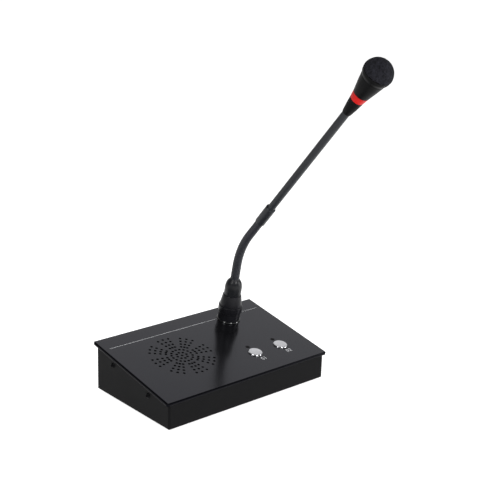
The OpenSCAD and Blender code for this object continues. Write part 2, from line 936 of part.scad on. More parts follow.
// Button cap with a domed face, a retaining lip and a stem down to its plunger
module button_cap(x) {
    dome_r = (button_d * button_d / 4 + dome_rise * dome_rise) / (2 * dome_rise);
    top = button_rise + dome_rise;
    color(silver)
        on_panel(x, button_s)
            union() {
                difference() {
                    union() {
                        intersection() {
                            post(-under - lip_gap - lip_t, under + lip_gap + lip_t + top, button_d);
                            translate([0, 0, top - dome_r])
                                sphere(dome_r);
                        }
                        post(-under - lip_gap - lip_t, lip_t, button_d + 2 * lip_w);
                    }
                    translate([0, 0, -stem_z])
                        cylinder(h = stem_z + button_rise - button_wall, d = button_d - 2 * button_wall);
                }
                post(-stem_z, stem_z + button_rise, stem_d);
            }
}

module button_left() {
    button_cap(button_left_x);
}

module button_right() {
    button_cap(button_right_x);
}

module switch_plunger(x) {
    color(black_plastic)
        on_panel(x, button_s)
            post(-switch_z - plunger_in, plunger_rise + plunger_in, plunger_d);
}

module plunger_left() {
    switch_plunger(button_left_x);
}

module plunger_right() {
    switch_plunger(button_right_x);
}

module at_board_pillars() {
    for (x = [pillar_inset, board_w - pillar_inset], y = [pillar_inset, board_d - pillar_inset])
        translate([board_x + x, board_back_y - board_d + y, 0])
            children();
}

module main_board() {
    color(board_green)
        difference() {
            translate([board_x, board_back_y - board_d, board_z])
                cube([board_w, board_d, board_t]);
            at_board_pillars()
                post(board_z - board_t, 3 * board_t, screw_d + 2 * seat_gap);
        }
}

module board_pillars() {
    color(zinc)
        at_board_pillars()
            difference() {
                post(floor_z, board_rise, pillar_d);
                post(board_z - pillar_hole, 2 * pillar_hole, screw_d + 2 * seat_gap);
            }
}

module board_screws() {
    color(zinc)
        at_board_pillars()
            translate([0, 0, board_top_z])
                screw(board_t + pillar_hole - screw_d / 2);
}

module board_parts() {
    color(black_plastic)
        translate([board_x, board_back_y - board_d, board_top_z]) {
            translate([chip_in, chip_front, 0])
                cube([chip_w, chip_w, chip_h]);
            translate([chip_in + chip_w + chip_space, chip_front, 0])
                cube([amp_w, amp_w, chip_h]);
            for (k = [0, 1])
                translate([board_w - can_in, chip_front + k * can_pitch, 0])
                    cylinder(h = can_h, d = can_d);
        }
}

module network_jack() {
    mouth_y = jack_back_y - mouth_d;
    color(black_plastic)
        difference() {
            translate([net_x - net_w / 2, jack_back_y - net_d, board_top_z])
                cube([net_w, net_d, net_h]);
            translate([net_x - mouth_w / 2, mouth_y, board_top_z + mouth_z])
                cube([mouth_w, 2 * mouth_d, mouth_h]);
            translate([net_x - latch_w / 2, mouth_y, board_top_z + mouth_z - latch_h])
                cube([latch_w, 2 * mouth_d, 2 * latch_h]);
        }
}

module power_jack() {
    body_y = tray_back_y - sheet_t - jack_gap;
    color(black_plastic)
        union() {
            difference() {
                union() {
                    translate([power_x - power_w / 2, body_y - power_d, board_top_z])
                        cube([power_w, power_d, power_h]);
                    translate([power_x, jack_back_y, board_top_z + nose_z])
                        rotate([90, 0, 0])
                            cylinder(h = jack_back_y - body_y + sheet_t, d = nose_d);
                }
                translate([power_x, jack_back_y + sheet_t, board_top_z + nose_z])
                    rotate([90, 0, 0])
                        cylinder(h = barrel_h + sheet_t, d = barrel_d);
            }
            translate([power_x, jack_back_y - barrel_h + pin_h, board_top_z + nose_z])
                rotate([90, 0, 0])
                    cylinder(h = pin_h + sheet_t, d = pin_d);
        }
}

module socket_shell() {
    color(black_satin)
        on_panel(mic_x, mic_s)
            difference() {
                union() {
                    post(0, collar_h, collar_d);
                    post(-barrel_drop, barrel_drop, barrel_out_d);
                }
                post(-2 * barrel_drop, 4 * barrel_drop, socket_bore);
            }
}

module socket_bead() {
    dome_r = (bead_d - collar_d) / 2;
    color(black_plastic)
        on_panel(mic_x, mic_s)
            difference() {
                union() {
                    post(0, bead_h - dome_r / 2, bead_d);
                    translate([0, 0, bead_h - dome_r / 2])
                        cylinder(h = dome_r / 2, d1 = bead_d, d2 = bead_d - dome_r);
                }
                post(-bead_h, 3 * bead_h, collar_d + 2 * seat_gap);
            }
}

module socket_nut() {
    color(zinc)
        on_panel(mic_x, mic_s)
            difference() {
                translate([0, 0, -under - socket_nut_h])
                    cylinder(h = socket_nut_h, d = socket_nut_d, $fn = 6);
                post(-2 * barrel_drop, 4 * barrel_drop, barrel_out_d + 2 * seat_gap);
            }
}

// Axis of each of the plug's contacts
module at_contacts() {
    on_panel(mic_x, mic_s)
        for (k = [0 : contacts - 1])
            rotate(90 + k * 360 / contacts)
                translate([contact_at, 0, 0])
                    children();
}

module socket_insert() {
    color(black_plastic)
        difference() {
            on_panel(mic_x, mic_s)
                union() {
                    post(-barrel_drop, insert_foot, socket_bore - 2 * seat_gap);
                    post(-barrel_drop, barrel_drop + insert_top, insert_d);
                }
            at_contacts() {
                post(insert_top - sleeve_h, 2 * sleeve_h, sleeve_d + 2 * seat_gap);
                post(-2 * barrel_drop, 2 * barrel_drop, tail_d + 2 * seat_gap);
            }
        }
}

module socket_contacts() {
    color(brass)
        at_contacts()
            difference() {
                union() {
                    post(insert_top - sleeve_h, sleeve_h - screw_d / 2, sleeve_d);
                    post(insert_top - sleeve_h - tail_h, tail_h + tail_d, tail_d);
                }
                post(insert_top - sleeve_h + tail_d, sleeve_h, plug_pin_d + 2 * pin_gap);
            }
}

module lock_ring() {
    color(black_satin)
        on_panel(mic_x, mic_s)
            ring(collar_h, lock_h, lock_d, plug_barrel_d + 2 * seat_gap);
}

module plug_shell() {
    color(black_satin)
        on_panel(mic_x, mic_s)
            difference() {
                union() {
                    post(-plug_drop, plug_drop + shell_t, plug_barrel_d);
                    translate([0, 0, shell_t])
                        cylinder(h = shell_h, d1 = shell_d, d2 = shell_top_d);
                }
                post(-2 * plug_drop, 3 * plug_drop + boot_t, plug_bore);
            }
}

module plug_insert() {
    color(black_plastic)
        difference() {
            on_panel(mic_x, mic_s)
                post(plug_insert_t, plug_insert_h, plug_bore - 2 * seat_gap);
            at_contacts()
                post(0, boot_t, plug_pin_d + 2 * seat_gap);
        }
}

module plug_pins() {
    color(brass)
        at_contacts()
            post(-plug_pin_drop, plug_pin_drop + plug_insert_t + plug_insert_h + pin_tail, plug_pin_d);
}

module plug_boot() {
    shoulder_t = boot_t + boot_h;
    top_t = shoulder_t + boot_shoulder_h;
    color(black_rubber)
        on_panel(mic_x, mic_s)
            difference() {
                union() {
                    post(boot_t - boot_spigot, boot_spigot, plug_bore - 2 * seat_gap);
                    post(boot_t, boot_h, boot_d);
                    translate([0, 0, shoulder_t])
                        cylinder(h = boot_shoulder_h, d1 = boot_d, d2 = boot_shoulder_d);
                    translate([0, 0, top_t])
                        cylinder(h = boot_top_h, d1 = boot_shoulder_d, d2 = boot_mouth_d);
                }
                post(0, 2 * boot_t, neck_d + 2 * seat_gap);
            }
}

module neck_foot_ball() {
    foot_t = joint_first - link_gap - neck_foot;
    color(black_satin)
        on_panel(mic_x, mic_s)
            difference() {
                union() {
                    post(foot_t, neck_foot, neck_d);
                    post(foot_t, neck_foot + link_gap, link_stem_d);
                    translate([0, 0, joint_first])
                        sphere(ball_r);
                }
                post(foot_t - neck_foot, 3 * neck_foot, wire_d);
            }
}

// Hollow link of the flexible neck: a cup round the joint below, a ball at the joint above
module neck_link(k) {
    low_t = joint_first + (k - 1) * joint_step;
    high_t = low_t + joint_step;
    middle_t = low_t + joint_step / 2;
    body_h = joint_step - 2 * link_gap;
    color(black_satin)
        difference() {
            union() {
                on_neck(middle_t)
                    post(-body_h / 2, body_h, neck_d);
                on_neck(middle_t)
                    post(0, joint_step / 2, link_stem_d);
                on_neck(high_t)
                    sphere(ball_r);
            }
            on_neck(low_t)
                sphere(ball_r + ball_gap);
            on_neck(middle_t)
                post(-joint_step, 2 * joint_step, wire_d);
        }
}

module neck_link_1() {
    neck_link(1);
}

module neck_link_2() {
    neck_link(2);
}

module neck_link_3() {
    neck_link(3);
}

module neck_link_4() {
    neck_link(4);
}

module neck_link_5() {
    neck_link(5);
}

module neck_link_6() {
    neck_link(6);
}

module neck_link_7() {
    neck_link(7);
}

module neck_ferrule() {
    length = ferrule_end - joint_last - link_gap;
    color(black_satin)
        difference() {
            on_neck(joint_last)
                union() {
                    translate([0, 0, link_gap])
                        cylinder(h = ferrule_chamfer, d1 = ferrule_d - 2 * ferrule_chamfer, d2 = ferrule_d);
                    post(link_gap + ferrule_chamfer, length - 2 * ferrule_chamfer, ferrule_d);
                    translate([0, 0, link_gap + length - ferrule_chamfer])
                        cylinder(h = ferrule_chamfer, d1 = ferrule_d, d2 = ferrule_d - 2 * ferrule_chamfer);
                }
            on_neck(joint_last)
                sphere(ball_r + ball_gap);
            on_neck(joint_last)
                post(0, length, wire_d);
            on_neck(ferrule_end - tube_in)
                post(0, 2 * tube_in, tube_d + 2 * seat_gap);
        }
}

module upper_tube() {
    from_t = ferrule_end - tube_in;
    color(black_satin)
        on_neck(from_t)
            ring(0, head_t + tube_socket - from_t, tube_d, tube_d - 2 * tube_wall);
}

module head_collar() {
    color(black_satin)
        on_neck(head_t)
            difference() {
                union() {
                    cylinder(h = head_collar_h, d1 = head_start_d, d2 = light_start_d);
                    post(0, head_collar_h + light_h + spigot_over, spigot_d - 2 * seat_gap);
                }
                post(-tube_socket, 2 * tube_socket, tube_d + 2 * seat_gap);
                post(0, 2 * (head_collar_h + light_h), spigot_bore);
            }
}

module light_ring() {
    color(ring_red)
        on_neck(light_t)
            difference() {
                cylinder(h = light_h, d1 = light_start_d, d2 = light_end_d);
                post(-light_h, 3 * light_h, spigot_d);
            }
}

module lamp_ring_board() {
    color(board_green)
        on_neck(body_t)
            ring(0, lamp_board_t, spigot_d + 2 * lamp_board_w, spigot_d);
}

module head_body() {
    color(black_satin)
        on_neck(body_t)
            difference() {
                cylinder(h = head_body_h, d1 = light_end_d, d2 = head_end_d);
                translate([0, 0, -head_wall])
                    cylinder(
                        h = head_body_h + 2 * head_wall,
                        d1 = light_end_d - 2 * head_wall,
                        d2 = head_end_d - 2 * head_wall
                    );
            }
}

// The round side of the cup is a ball that runs through both of its ends
module head_trim() {
    start_r = head_end_d / 2;
    rim_r = trim_d / 2;
    middle = (rim_r * rim_r - start_r * start_r + trim_h * trim_h) / (2 * trim_h);
    color(black_satin)
        on_neck(trim_t)
            difference() {
                intersection() {
                    translate([0, 0, middle])
                        sphere(sqrt(start_r * start_r + middle * middle));
                    post(0, trim_h, 2 * trim_d);
                }
                post(-trim_h, 3 * trim_h, trim_bore);
                post(trim_h - cup_mouth_h, 2 * cup_mouth_h, cup_mouth_d);
            }
}

module foam_windscreen() {
    color(foam_black)
        on_neck(foam_t)
            difference() {
                union() {
                    intersection() {
                        translate([0, 0, foam_rise])
                            sphere(foam_r);
                        post(cup_mouth_h, 2 * foam_r, 4 * foam_r);
                    }
                    post(0, 1.5 * cup_mouth_h, cup_mouth_d - 2 * seat_gap);
                }
                post(-foam_hollow_h, 2 * foam_hollow_h, 2 * foam_hollow_r);
                translate([0, 0, foam_hollow_h])
                    sphere(foam_hollow_r);
            }
}

module capsule_holder() {
    cup_d = capsule_d + 2 * holder_wall;
    color(black_rubber)
        on_neck(foam_t)
            difference() {
                union() {
                    post(0, holder_t, holder_d);
                    post(holder_t - holder_h, holder_h, cup_d);
                }
                post(holder_t - capsule_in, 2 * capsule_in, capsule_d + 2 * seat_gap);
                post(-2 * holder_h, 2 * holder_h, spigot_bore);
            }
}

module mic_capsule() {
    color(zinc)
        on_neck(foam_t)
            post(holder_t - capsule_in, capsule_h, capsule_d);
}

base_tray();
rubber_feet();
top_panel();
cover_rails();
cover_screws();
grille_cloth();
speaker_gasket();
speaker_frame();
speaker_studs();
speaker_nuts();
speaker_surround();
speaker_cone();
speaker_dust_cap();
voice_coil();
speaker_top_plate();
speaker_magnet();
speaker_yoke();
key_board();
key_pillars();
key_screws();
key_switches();
status_lamps();
button_left();
button_right();
plunger_left();
plunger_right();
main_board();
board_pillars();
board_screws();
board_parts();
network_jack();
power_jack();
socket_shell();
socket_bead();
socket_nut();
socket_insert();
socket_contacts();
lock_ring();
plug_shell();
plug_insert();
plug_pins();
plug_boot();
neck_foot_ball();
neck_link_1();
neck_link_2();
neck_link_3();
neck_link_4();
neck_link_5();
neck_link_6();
neck_link_7();
neck_ferrule();
upper_tube();
head_collar();
light_ring();
lamp_ring_board();
head_body();
head_trim();
foam_windscreen();
capsule_holder();
mic_capsule();
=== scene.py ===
import math

import bmesh
import bpy
from mathutils import Matrix, Vector, noise


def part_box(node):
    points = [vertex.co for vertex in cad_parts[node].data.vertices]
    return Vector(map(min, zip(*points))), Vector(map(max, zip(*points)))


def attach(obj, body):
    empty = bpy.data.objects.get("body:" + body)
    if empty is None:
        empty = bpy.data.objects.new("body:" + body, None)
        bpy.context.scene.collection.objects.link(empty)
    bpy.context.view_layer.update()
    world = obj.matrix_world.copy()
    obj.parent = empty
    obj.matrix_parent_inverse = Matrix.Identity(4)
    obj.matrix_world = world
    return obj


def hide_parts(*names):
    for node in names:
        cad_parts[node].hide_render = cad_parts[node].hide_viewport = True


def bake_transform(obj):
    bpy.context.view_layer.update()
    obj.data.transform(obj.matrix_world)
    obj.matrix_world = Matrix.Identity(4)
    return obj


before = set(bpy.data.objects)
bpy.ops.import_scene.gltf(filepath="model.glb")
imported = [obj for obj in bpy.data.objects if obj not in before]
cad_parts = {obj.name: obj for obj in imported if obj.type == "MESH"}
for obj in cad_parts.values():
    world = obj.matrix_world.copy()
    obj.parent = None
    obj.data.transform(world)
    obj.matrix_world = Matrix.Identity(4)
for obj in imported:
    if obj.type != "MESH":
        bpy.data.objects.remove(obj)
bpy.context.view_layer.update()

# The view: a short telephoto lens, a little above the desk and 41 degrees round to the object's left.
# The camera leans by a degree and a half, as the picture does.
mm = 0.001


def direction(azimuth, elevation):
    """Unit vector away from the object, in degrees round from its front to its right, and up."""
    around, rise = math.radians(azimuth), math.radians(elevation)
    return Vector((math.sin(around) * math.cos(rise),
                   -math.cos(around) * math.cos(rise),
                   math.sin(rise)))


stand, lens_mm = Vector((-659.10, -789.28, 468.40)) * mm, 84.58
back, lean = direction(-41.214, 17.157), math.radians(1.5846)
level = Vector((0, 0, 1)).cross(back).normalized()
upright = back.cross(level)
right = level * math.cos(lean) + upright * math.sin(lean)
up = upright * math.cos(lean) - level * math.sin(lean)
camera = bpy.data.objects.new("camera", bpy.data.cameras.new("camera"))
camera.data.lens = lens_mm
camera.matrix_world = Matrix.Translation(stand) @ Matrix((right, up, back)).transposed().to_4x4()
bpy.context.scene.collection.objects.link(camera)
bpy.context.scene.camera = camera


# Floor: the opal acrylic top of a shooting table, lit evenly from below.
# The sheet glows white, so the object stands on it almost without a shadow.
def linear(colour):
    """sRGB hex colour as the linear colour that a shader takes."""
    parts = [int(colour[k:k + 2], 16) / 255 for k in (1, 3, 5)]
    return [p / 12.92 if p <= 0.04045 else ((p + 0.055) / 1.055) ** 2.4 for p in parts] + [1]


def add(tree, kind, sockets=None, **settings):
    """Adds a shader node: its settings, and for each socket a value or the output that feeds it."""
    made = tree.nodes.new("ShaderNode" + kind)
    for name, value in settings.items():
        setattr(made, name, value)
    for name, value in (sockets or {}).items():
        if isinstance(value, bpy.types.NodeSocket):
            tree.links.new(value, made.inputs[name])
        else:
            made.inputs[name].default_value = value
    return made


def surface(name, low, high, patch_mm, rough, grain_mm, relief_mm, **sockets):
    """A finish whose colour (low to high) and roughness drift in patches, with a grain in relief.

    patch_mm and grain_mm are the sizes of the patches and of the grain, relief_mm is the grain's height,
    and sockets are further values of the shader, by the names of its inputs.
    """
    made = bpy.data.materials.new(name)
    made.use_nodes = True
    tree = made.node_tree
    shader = tree.nodes["Principled BSDF"]
    place = add(tree, "TexCoord").outputs["Object"]
    patch = add(tree, "TexNoise", {"Vector": place, "Scale": 1000 / patch_mm, "Detail": 5.0})
    grain = add(tree, "TexNoise", {"Vector": place, "Scale": 1000 / grain_mm, "Detail": 3.0})
    # The two noises add up to about 1, and the drift takes the middle of their range.
    mixed = add(tree, "Math", {0: patch.outputs["Fac"], 1: grain.outputs["Fac"]}, operation="ADD")
    drift = add(tree, "MapRange", {"Value": mixed.outputs[0], "From Min": 0.7, "From Max": 1.3})
    tint = add(tree, "MixRGB", {"Fac": drift.outputs[0], "Color1": linear(low), "Color2": linear(high)})
    gloss = add(tree, "MapRange", {"Value": drift.outputs[0], "To Min": rough[0], "To Max": rough[1]})
    bump = add(tree, "Bump", {"Height": grain.outputs["Fac"], "Distance": relief_mm * mm, "Strength": 1.0})
    for socket, node in (("Base Color", tint), ("Roughness", gloss), ("Normal", bump)):
        tree.links.new(node.outputs[0], shader.inputs[socket])
    for socket, value in sockets.items():
        shader.inputs[socket.replace("_", " ")].default_value = value
    return made


# Opal acrylic gives an even milky white that hides the lamps under it.
opal_acrylic = surface("opal_acrylic_sheet", "#e6e6e6", "#eaeaea", 60, (0.7, 0.8), 1.5, 0.002,
                       Emission_Color=linear("#ffffff"), Emission_Strength=0.86)
reach = 15
floor = bpy.data.objects.new("floor", bpy.data.meshes.new("floor"))
floor.data.from_pydata([(-reach, -reach, 0), (reach, -reach, 0), (reach, reach, 0), (-reach, reach, 0)],
                       [], [(0, 1, 2, 3)])
floor.data.materials.append(opal_acrylic)
bpy.context.scene.collection.objects.link(floor)

# Light: a studio with a white wall behind the object, as the camera sees it, and a dim room in front.
# Two small softboxes stand to the left and right of the camera, for the paired highlights.
# A third, low and far to the right, lights the front wall.
world = bpy.data.worlds.new("studio_room")
world.use_nodes = True
room = world.node_tree
wall_side, wall_from, wall_full, room_glow, wall_glow = (0.6, 0.8, 0), 0.3, 0.9, 0.05, 0.98
toward_wall = add(room, "VectorMath", {0: add(room, "TexCoord").outputs["Generated"], 1: wall_side},
                  operation="DOT_PRODUCT")
glow = add(room, "MapRange", {"Value": toward_wall.outputs["Value"], "From Min": wall_from,
                              "From Max": wall_full, "To Min": room_glow, "To Max": wall_glow})
room.links.new(glow.outputs[0], room.nodes["Background"].inputs["Strength"])
room.nodes["Background"].inputs["Color"].default_value = linear("#ffffff")
bpy.context.scene.world = world
bpy.context.scene.view_settings.view_transform = "Standard"
box_w, box_h, box_distance, aim = 0.4, 0.6, 1.5, Vector((0, 0, 0.1))
for name, azimuth, elevation, watts in (("softbox_left", -74, 40, 9), ("softbox_right", 0, 40, 12),
                                        ("softbox_side", 52, 12, 9)):
    lamp = bpy.data.objects.new(name, bpy.data.lights.new(name, "AREA"))
    lamp.data.shape = "RECTANGLE"
    lamp.data.size, lamp.data.size_y = box_w, box_h
    lamp.data.energy = watts
    toward = direction(azimuth, elevation)
    lamp.matrix_world = (Matrix.Translation(toward * box_distance + aim)
                         @ toward.to_track_quat("Z", "Y").to_matrix().to_4x4())
    bpy.context.scene.collection.objects.link(lamp)


# Feet: four round rubber pads, moulded with a rounded rim and stuck under the tray near its corners.
# Each is a turned form that widens a little above its tread.
def rounded(corners, steps=6):
    """Outline through corners (radius, height, fillet), each corner rounded by its fillet."""
    points = []
    for k, (r, z, fillet) in enumerate(corners):
        here = Vector((r, z))
        if not fillet:
            points.append(here)
            continue
        a = (Vector(corners[k - 1][:2]) - here).normalized()
        b = (Vector(corners[(k + 1) % len(corners)][:2]) - here).normalized()
        half = a.angle(b) / 2
        middle = here + (a + b).normalized() * fillet / math.sin(half)
        first = here + a * fillet / math.tan(half) - middle
        last = here + b * fillet / math.tan(half) - middle
        points += [middle + first.slerp(last, i / steps).normalized() * fillet for i in range(steps + 1)]
    return points


def piece(name, meshes, material, crease=32):
    """Object from bmesh pieces that share one material; edges past the crease angle stay crisp."""
    whole = bmesh.new()
    for part in meshes:
        scrap = bpy.data.meshes.new("scrap")
        part.to_mesh(scrap)
        part.free()
        whole.from_mesh(scrap)
        bpy.data.meshes.remove(scrap)
    bmesh.ops.recalc_face_normals(whole, faces=whole.faces)
    mesh = bpy.data.meshes.new(name)
    whole.to_mesh(mesh)
    whole.free()
    mesh.shade_smooth()
    mesh.set_sharp_from_angle(angle=math.radians(crease))
    mesh.materials.append(material)
    made = bpy.data.objects.new(name, mesh)
    bpy.context.scene.collection.objects.link(made)
    return made


# Points nearer to each other than this, in metres, become one.
weld = 1e-7


def turned(corners, place, turns=72):
    """Turned solid: the outline (millimetres) swept round the local Z axis of place."""
    outline = rounded(corners)
    closed = outline[0].x > 0 or outline[-1].x > 0
    made = bmesh.new()
    rings = []
    for k in range(turns):
        a = 2 * math.pi * k / turns
        rings.append([made.verts.new(place @ (Vector((p.x * math.cos(a), p.x * math.sin(a), p.y)) * mm))
                      for p in outline])
    count = len(outline)
    for here, there in zip(rings, rings[1:] + rings[:1]):
        for i in range(count if closed else count - 1):
            j = (i + 1) % count
            made.faces.new((here[i], there[i], there[j], here[j]))
    bmesh.ops.remove_doubles(made, verts=made.verts, dist=weld)
    return made


# Moulded rubber is a dull black with a soft sheen, and its fine grain scatters the light.
moulded_rubber = surface("moulded_rubber", "#17181a", "#1e1f22", 9, (0.31, 0.38), 0.5, 0.003,
                         Specular_IOR_Level=0.2)
foot_x, foot_y, foot_h, pad_r, tread_r, tread_h = 81, 41.487, 2, 7, 6.4, 1.2
foot = [(0, 0, 0), (tread_r, 0, 0.7), (pad_r, tread_h, 0.5), (pad_r, foot_h, 0), (0, foot_h, 0)]
feet = piece("foot_pads", [turned(foot, Matrix.Translation(Vector((x, y, 0)) * mm))
                           for x in (-foot_x, foot_x) for y in (-foot_y, foot_y)], moulded_rubber)
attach(feet, "console")
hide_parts("rubber_feet")


# Tray: one folded sheet of steel, bent up at its four sides and powder coated.
# The rails that take the cover screws are coated with it.
def paint(material, *names):
    """Gives the frame's own solids their finish."""
    for name in names:
        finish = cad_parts[name].data.materials
        finish.clear()
        finish.append(material)


# The baked powder is a near-black satin whose fine pimples keep reflections dull.
textured_coat = surface("textured_powder_coat", "#0c0c0d", "#121213", 26, (0.46, 0.6), 0.7, 0.03,
                        Specular_IOR_Level=0.05)
paint(textured_coat, "base_tray", "cover_rails")

# Main board: a glass-epoxy circuit board on four zinc-plated pillars, with its chips and capacitors.
# The key board behind the buttons and the lamp board in the head are made alike.
# Solder resist over copper shows as two greens with a soft gloss.
board_epoxy = surface("glass_epoxy_board", "#0e3a20", "#14522d", 6, (0.3, 0.45), 1.2, 0.03)
# Zinc plating is a pale, slightly cloudy metal.
zinc_plate = surface("zinc_plated_steel", "#8f9297", "#b4b7ba", 5, (0.25, 0.42), 0.8, 0.01, Metallic=1.0)
# Moulded nylon is a plain black with a faint eggshell shine.
black_nylon = surface("moulded_black_nylon", "#131315", "#1c1c1f", 7, (0.42, 0.56), 0.45, 0.02,
                      Specular_IOR_Level=0.35)
paint(board_epoxy, "main_board", "key_board", "lamp_ring_board")
paint(zinc_plate, "board_pillars", "board_screws", "key_pillars", "key_screws")
paint(black_nylon, "board_parts", "key_switches", "plunger_left", "plunger_right")

# Jacks: the network jack and the power jack, moulded in black nylon and soldered to the main board.
# Sprung wires lie in the network jack's mouth, and a sleeve is pressed round the power pin.
paint(black_nylon, "network_jack", "power_jack")
# Gold plating is a clean warm yellow mirror.
gold_plate = surface("gold_plated_bronze", "#c79a3e", "#e0b95c", 3, (0.18, 0.3), 0.4, 0.004, Metallic=1.0)
# Turned brass is a paler yellow, dulled by fine tool marks.
turned_brass = surface("turned_brass", "#a98a45", "#c9aa62", 4, (0.22, 0.36), 0.5, 0.006, Metallic=1.0)
jack_low, jack_high = (Vector(corner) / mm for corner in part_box("network_jack"))
wire_count, wire_pitch, wire_w = 8, 1.02, 0.44
# A wire's route (y, z), from the plane of the jack's mouth and from the jack's base.
wire_route = [(-13.9, 6.4), (-4.6, 9.7), (-3.4, 9.9), (-2.9, 10.55)]
wires = []
for k in range(wire_count):
    x = (jack_low.x + jack_high.x) / 2 + (k - (wire_count - 1) / 2) * wire_pitch
    wire = bmesh.new()
    sides = []
    for route_y, route_z in wire_route:
        y, z = jack_high.y + route_y, jack_low.z + route_z
        sides.append([wire.verts.new(Vector((x + i * wire_w / 2, y, z + j * wire_w / 2)) * mm)
                      for i, j in ((-1, -1), (1, -1), (1, 1), (-1, 1))])
    for here, there in zip(sides, sides[1:]):
        for i in range(4):
            wire.faces.new((here[i], here[(i + 1) % 4], there[(i + 1) % 4], there[i]))
    wire.faces.new(sides[0])
    wire.faces.new(sides[-1])
    wires.append(wire)
jack_wires = piece("network_jack_wires", wires, gold_plate)
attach(jack_wires, "console")
jack_low, jack_high = (Vector(corner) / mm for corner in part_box("power_jack"))
pin_z, pin_r, sleeve_r, sleeve_from, sleeve_to = 6.4, 1.06, 1.3, 1.1, 9.8
mouth = Vector(((jack_low.x + jack_high.x) / 2, jack_high.y, jack_low.z + pin_z))
into = Matrix.Translation(mouth * mm) @ Matrix.Rotation(math.radians(90), 4, "X")
pin_sleeve = [(pin_r, sleeve_from, 0), (sleeve_r, sleeve_from, 0.1), (sleeve_r, sleeve_to, 0),
              (pin_r, sleeve_to, 0)]
sleeve = piece("power_pin_sleeve", [turned(pin_sleeve, into, turns=32)], turned_brass)
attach(sleeve, "console")

# Loudspeaker: a pressed steel basket on four studs, with a paper cone, a rubber surround,
# a copper coil and a ferrite magnet between steel plates. A gasket seals it to the panel.
# Pressed paper is a dull grey-brown felt of fibres.
cone_paper = surface("pressed_paper", "#3a3733", "#4a4741", 8, (0.85, 0.95), 0.9, 0.06)
# Ferrite is a dark ceramic, dull and slightly sandy.
sintered_ferrite = surface("sintered_ferrite", "#2b2c2e", "#3a3b3d", 5, (0.5, 0.65), 0.7, 0.03)
# Enamelled wire shines copper red through its varnish.
enamelled_copper = surface("enamelled_copper_wire", "#8a4a22", "#b2672f", 2, (0.25, 0.4), 0.4, 0.02,
                           Metallic=1.0)
paint(zinc_plate, "speaker_frame", "speaker_studs", "speaker_nuts", "speaker_top_plate", "speaker_yoke")
paint(moulded_rubber, "speaker_gasket", "speaker_surround", "speaker_dust_cap")
paint(cone_paper, "speaker_cone")
paint(sintered_ferrite, "speaker_magnet")
paint(enamelled_copper, "voice_coil")

# Dust cloth: open black polyester, glued to the back of the grille.
# Through the holes it shows as a dark weave, drawn at 0.5 mm because a real thread is too fine to show.
grille_weave = surface("woven_polyester", "#060607", "#101011", 3, (0.9, 1.0), 0.5, 0.05)
paint(grille_weave, "grille_cloth")

# Panel: a second sheet of steel with its edges folded under, punched for the grille, buttons, lamps
# and socket. Its powder coat is smoother than the tray's and mirrors the stem as a soft dark streak;
# on the folded edges the coat's colour is darkened as painted shade, and its shine is turned down there.
face_shine, edge_shine, edge_painted_shade = 0.4, 0.04, "#07070a"
satin_coat = surface("satin_powder_coat", "#0e0e10", "#131315", 60, (0.16, 0.2), 1.1, 0.0004,
                     Specular_Tint=linear("#e6e8ff"), Specular_IOR_Level=face_shine)
slope = math.radians(10.5)
panel_d, panel_z = 121, 29.6


def on_panel(x, s):
    """Place on the panel's face, in millimetres from its middle and its front edge, +Z out of the face."""
    front = Vector((0, -panel_d * math.cos(slope) / 2, panel_z)) * mm
    return (Matrix.Translation(front) @ Matrix.Rotation(slope, 4, "X")
            @ Matrix.Translation(Vector((x, s, 0)) * mm))


coat = satin_coat.node_tree
# The face and its edges are told apart by how squarely the surface looks out of the panel.
edge_facing, face_facing = 0.9, 0.995
facing = add(coat, "VectorMath", {0: add(coat, "TexCoord").outputs["Normal"],
                                  1: on_panel(0, 0).to_3x3().col[2]}, operation="DOT_PRODUCT")
on_face = add(coat, "MapRange", {"Value": facing.outputs["Value"], "From Min": edge_facing,
                                 "From Max": face_facing})
shine = add(coat, "MapRange", {"Value": on_face.outputs[0], "To Min": edge_shine, "To Max": face_shine})
paint_in = coat.nodes["Principled BSDF"].inputs
# Painted shade: the edges' colour is mixed towards a near-black that stands in for shade on the folds.
shade = add(coat, "MixRGB", {"Fac": on_face.outputs[0], "Color1": linear(edge_painted_shade),
                             "Color2": paint_in["Base Color"].links[0].from_socket})
coat.links.new(shine.outputs[0], paint_in["Specular IOR Level"])
coat.links.new(shade.outputs[0], paint_in["Base Color"])
paint(satin_coat, "top_panel")

# Print: one fine rule across the panel and a plain number before each button, screen printed.
# The white ink is matt and thin, so the coat's grain shows in it.
white_ink = surface("screen_print_ink", "#a8a9ac", "#bebfc2", 4, (0.55, 0.7), 0.4, 0.01)
rule_s, rule_w, rule_x, ink_h = 102, 0.6, 93.5, 0.02
on_coat = Matrix.Translation((0, 0, ink_h * mm / 2))
rule = bmesh.new()
bmesh.ops.create_cube(rule, size=mm, matrix=on_panel(0, rule_s) @ on_coat
                      @ Matrix.Diagonal((2 * rule_x, rule_w, ink_h, 1)))
print_ink = [rule]
digit_s, digit_size, digit_bold = 18.4, 6.5, 0.12
for number, x in (("01", 33.2), ("02", 66.4)):
    glyph = bpy.data.curves.new("glyph", "FONT")
    glyph.body, glyph.align_x, glyph.size = number, "CENTER", digit_size * mm
    glyph.extrude, glyph.offset = ink_h * mm / 2, digit_bold * mm
    digit = bmesh.new()
    digit.from_mesh(bpy.data.meshes.new_from_object(bpy.data.objects.new("glyph", glyph)))
    bmesh.ops.remove_doubles(digit, verts=digit.verts, dist=weld)
    digit.transform(on_panel(x, digit_s) @ on_coat)
    print_ink.append(digit)
printed = piece("panel_print", print_ink, white_ink)
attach(printed, "console")

# Cover screws: M3 pan-head machine screws through the tray's sides into the rails under the panel.
# Black oxide on steel is dark with a faint oily shine.
black_oxide = surface("black_oxide_steel", "#08080a", "#0e0e10", 3, (0.34, 0.5), 0.4, 0.008,
                      Specular_IOR_Level=0.05)
paint(black_oxide, "cover_screws")

